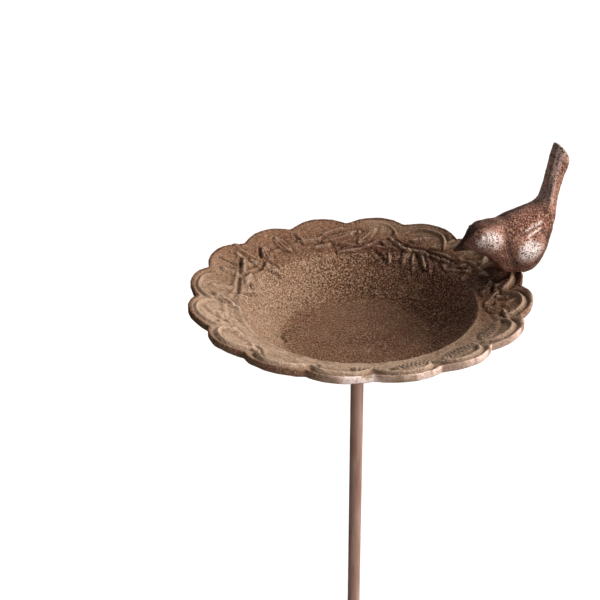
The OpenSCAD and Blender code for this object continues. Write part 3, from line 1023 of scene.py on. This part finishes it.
def cast_bird_material():
    """Dark bronze with a light streaky grain, painted shade and darker grooves, and bare metal where it is
    rubbed, brightened into painted highlights.
    """
    g = Graph("cast_bird_bronze")
    grain = g.noise(850, 4, 0.65)
    streak = g.noise(1000, 3, 0.6, (1, 1, 0.45))
    relief = g.attribute("relief")
    shade = g.attribute("patina_and_painted_shade")
    bright = g.span(shade, 0.0, 0.8, 1.0, 0.1)
    colour = g.mix(g.span(g.noise(150, 4, 0.6), 0.4, 0.62), (0.12, 0.036, 0.019), (0.30, 0.115, 0.068))
    # Darker in the grooves: patina in the hollows and painted shade
    colour = g.mix(g.span(relief, -0.2, -1.2, 0.0, 0.85), colour, (0.022, 0.009, 0.006))
    # Painted shade, and the dark face and beak, darken the colour
    colour = g.mix(shade, colour, (0.026, 0.010, 0.007))
    light = g.calc("MULTIPLY", g.span(streak, 0.51, 0.58, 0.0, 0.7), bright)
    colour = g.mix(light, colour, g.mix(0.75, colour, (0.86, 0.53, 0.41)))
    rubbed_and_highlit = g.attribute("worn_and_lit")
    worn_and_lit = g.calc("MULTIPLY", rubbed_and_highlit, g.span(grain, 0.38, 0.50))
    # Painted highlight: the rubbed metal turns near white where most rubbed
    metal = g.mix(g.span(rubbed_and_highlit, 0.4, 0.8), (0.72, 0.40, 0.30), (1.0, 0.85, 0.80))
    colour = g.mix(worn_and_lit, colour, metal)
    dark = g.calc("MULTIPLY", g.span(grain, 0.47, 0.40, 0.0, 0.8), g.span(worn_and_lit, 0.3, 1.0, 1.0, 0.5))
    colour = g.mix(dark, colour, (0.022, 0.009, 0.006))
    g.bump(g.calc("ADD", grain, g.calc("MULTIPLY", g.noise(300, 3), 0.8)), 0.0011, 0.95)
    return g.finish(colour, g.span(grain, 0.3, 0.7, 0.5, 0.36), 0.35, 0.14)


def rod_material(name, dark, light, chip):
    """Satin paint on drawn rod, a little streaked along it and chipped."""
    g = Graph(name)
    streak = g.noise(260, 3, 0.6, (1, 1, 0.12))
    grain = g.noise(1300, 2)
    colour = g.mix(g.span(streak, 0.35, 0.65), dark, light)
    colour = g.mix(g.span(g.noise(150, 4, 0.7), 0.66, 0.72), colour, chip)
    g.bump(g.calc("ADD", grain, g.calc("MULTIPLY", streak, 0.5)), 0.0003, 0.5)
    return g.finish(colour, g.span(streak, 0.3, 0.7, 0.42, 0.58), 0.15)


def nut_material():
    """Dark brown paint, worn through in patches."""
    g = Graph("locknut_paint")
    grain = g.noise(900, 3)
    colour = g.mix(g.span(g.noise(240, 3), 0.4, 0.65), (0.12, 0.08, 0.06), (0.21, 0.145, 0.11))
    colour = g.mix(g.span(g.noise(320, 4, 0.7), 0.62, 0.70), colour, (0.36, 0.30, 0.26))
    g.bump(grain, 0.0003, 0.6)
    return g.finish(colour, g.span(grain, 0.3, 0.7, 0.38, 0.55), 0.35)


def zinc_material():
    """Dull zinc plate."""
    g = Graph("zinc_plate")
    cloud = g.noise(420, 4, 0.6)
    colour = g.mix(g.span(cloud, 0.35, 0.65), (0.30, 0.30, 0.29), (0.52, 0.51, 0.49))
    g.bump(g.noise(1600, 2), 0.0001, 0.4)
    return g.finish(colour, g.span(cloud, 0.3, 0.7, 0.32, 0.5), 0.85)


def weld_material():
    """Dark paint over the beads."""
    g = Graph("weld_paint")
    grain = g.noise(800, 3)
    colour = g.mix(g.span(grain, 0.35, 0.65), (0.075, 0.066, 0.06), (0.15, 0.135, 0.12))
    g.bump(grain, 0.0003, 0.7)
    return g.finish(colour, g.span(grain, 0.3, 0.7, 0.4, 0.6), 0.3)


def set_material(piece, material):
    piece.data.materials.clear()
    piece.data.materials.append(material)


def paint_cad_nodes():
    """Gives each CAD node that still shows its finish."""
    upper = rod_material("rod_brown", (0.30, 0.165, 0.12), (0.44, 0.27, 0.21), (0.12, 0.07, 0.05))
    lower = rod_material("rod_grey", (0.135, 0.115, 0.10), (0.20, 0.175, 0.15), (0.08, 0.07, 0.06))
    zinc = zinc_material()
    finishes = {
        "pole_upper": upper, "pole_middle": upper, "pole_lower": lower, "fork_prong": lower,
        "dish_locknut": nut_material(), "bird_screw": zinc, "screw_washer": zinc,
        "joint_stud_upper": zinc, "joint_stud_lower": zinc,
    }
    for node, material in finishes.items():
        set_material(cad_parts[node], material)


# ---------------------------------------------------------------- stage, light and camera

# Sizes in metres
FLOOR_HALF = 40.0
FLOOR_GAP = 0.0005
BACKDROP_R = 38.0
# Suns: name, the direction each comes from (azimuth and elevation), strength, spread and colour
SUNS = [
    ("key", 12, 34, 4.3, 40, (1.0, 0.97, 0.94)),
    ("fill", -50, 8, 2.4, 40, (1.0, 0.98, 0.96)),
    ("back", 80, 40, 0.6, 50, (1.0, 0.98, 0.96)),
]
SKY_COLOUR = (1.0, 0.99, 0.98, 1)
SKY_STRENGTH = 0.2
# Camera: distance in metres, elevation, lens in millimetres, and its turn away from the aim
CAMERA_DISTANCE = 0.86
CAMERA_ELEVATION = math.radians(27.56)
CAMERA_LENS = 78.1
CAMERA_TURN = [math.radians(2.57), math.radians(-0.581), math.radians(0.91)]


def add_stage(name, mesh, material):
    """A floor or backdrop that the camera sees, and that throws no light onto the object."""
    stage = bpy.data.objects.new(name, mesh)
    bpy.context.scene.collection.objects.link(stage)
    set_material(stage, material)
    stage.visible_diffuse = False
    stage.visible_glossy = False
    return stage


def build_floor():
    """A nearly white floor just below the pole's point."""
    mesh = bpy.data.meshes.new("floor")
    corners = [(x * FLOOR_HALF, y * FLOOR_HALF, 0) for x, y in ((-1, -1), (1, -1), (1, 1), (-1, 1))]
    mesh.from_pydata(corners, [], [(0, 1, 2, 3)])
    g = Graph("floor_paint")
    colour = g.mix(g.noise(3, 2), (0.95, 0.95, 0.95), (0.97, 0.97, 0.97))
    floor = add_stage("floor", mesh, g.finish(colour, 0.9, 0.0, 0.0))
    floor.location.z = FLOOR_Z - FLOOR_GAP


def build_backdrop():
    """A far white dome, so that the view above the floor's horizon is as pale as the floor."""
    mesh = bpy.data.meshes.new("backdrop")
    build = bmesh.new()
    bmesh.ops.create_uvsphere(build, u_segments=48, v_segments=24, radius=BACKDROP_R)
    build.to_mesh(mesh)
    build.free()
    material = bpy.data.materials.new("backdrop_white")
    material.use_nodes = True
    tree = material.node_tree
    tree.nodes.clear()
    glow = tree.nodes.new("ShaderNodeEmission")
    output = tree.nodes.new("ShaderNodeOutputMaterial")
    tree.links.new(glow.outputs["Emission"], output.inputs["Surface"])
    backdrop = add_stage("backdrop", mesh, material)
    backdrop.visible_shadow = False


def add_sun(name, azimuth, elevation, strength, spread, colour):
    """A soft, distant light that comes from the given direction."""
    data = bpy.data.lights.new(name, "SUN")
    data.energy = strength
    data.angle = math.radians(spread)
    data.color = colour
    lamp = bpy.data.objects.new(name, data)
    a, e = math.radians(azimuth), math.radians(elevation)
    source = Vector((math.cos(a) * math.cos(e), math.sin(a) * math.cos(e), math.sin(e)))
    lamp.rotation_euler = source.to_track_quat("Z", "Y").to_euler()
    lamp.location = source * 3
    bpy.context.scene.collection.objects.link(lamp)


def build_light():
    """A dim sky and the suns, shown without a film look."""
    world = bpy.data.worlds.new("studio")
    world.use_nodes = True
    sky = world.node_tree.nodes["Background"]
    sky.inputs["Color"].default_value = SKY_COLOUR
    sky.inputs["Strength"].default_value = SKY_STRENGTH
    bpy.context.scene.world = world
    for sun in SUNS:
        add_sun(*sun)
    bpy.context.scene.view_settings.view_transform = "Standard"


def build_camera():
    """The photo's close-up view: aimed at the middle of the rim, then turned a little."""
    yaw, pitch, roll = CAMERA_TURN
    data = bpy.data.cameras.new("camera")
    data.sensor_width = 36
    data.lens = CAMERA_LENS
    data.clip_end = 200
    camera = bpy.data.objects.new("camera", data)
    aim = Vector((0, 0, RIM_Z * MM))
    spot = aim + CAMERA_DISTANCE * Vector((0, -math.cos(CAMERA_ELEVATION), math.sin(CAMERA_ELEVATION)))
    look = Matrix.Rotation(math.pi / 2 - CAMERA_ELEVATION, 4, "X")
    turn = Matrix.Rotation(yaw, 4, "Y") @ Matrix.Rotation(pitch, 4, "X") @ Matrix.Rotation(roll, 4, "Z")
    camera.matrix_world = Matrix.Translation(spot) @ look @ turn
    bpy.context.scene.collection.objects.link(camera)
    bpy.context.scene.camera = camera


build_camera()
build_light()
build_floor()
build_backdrop()
set_material(build_dish(), cast_dish_material())
set_material(build_bird(), cast_bird_material())
welds = weld_material()
set_material(build_leg_welds(), welds)
set_material(build_arm_weld(), welds)
paint_cad_nodes()
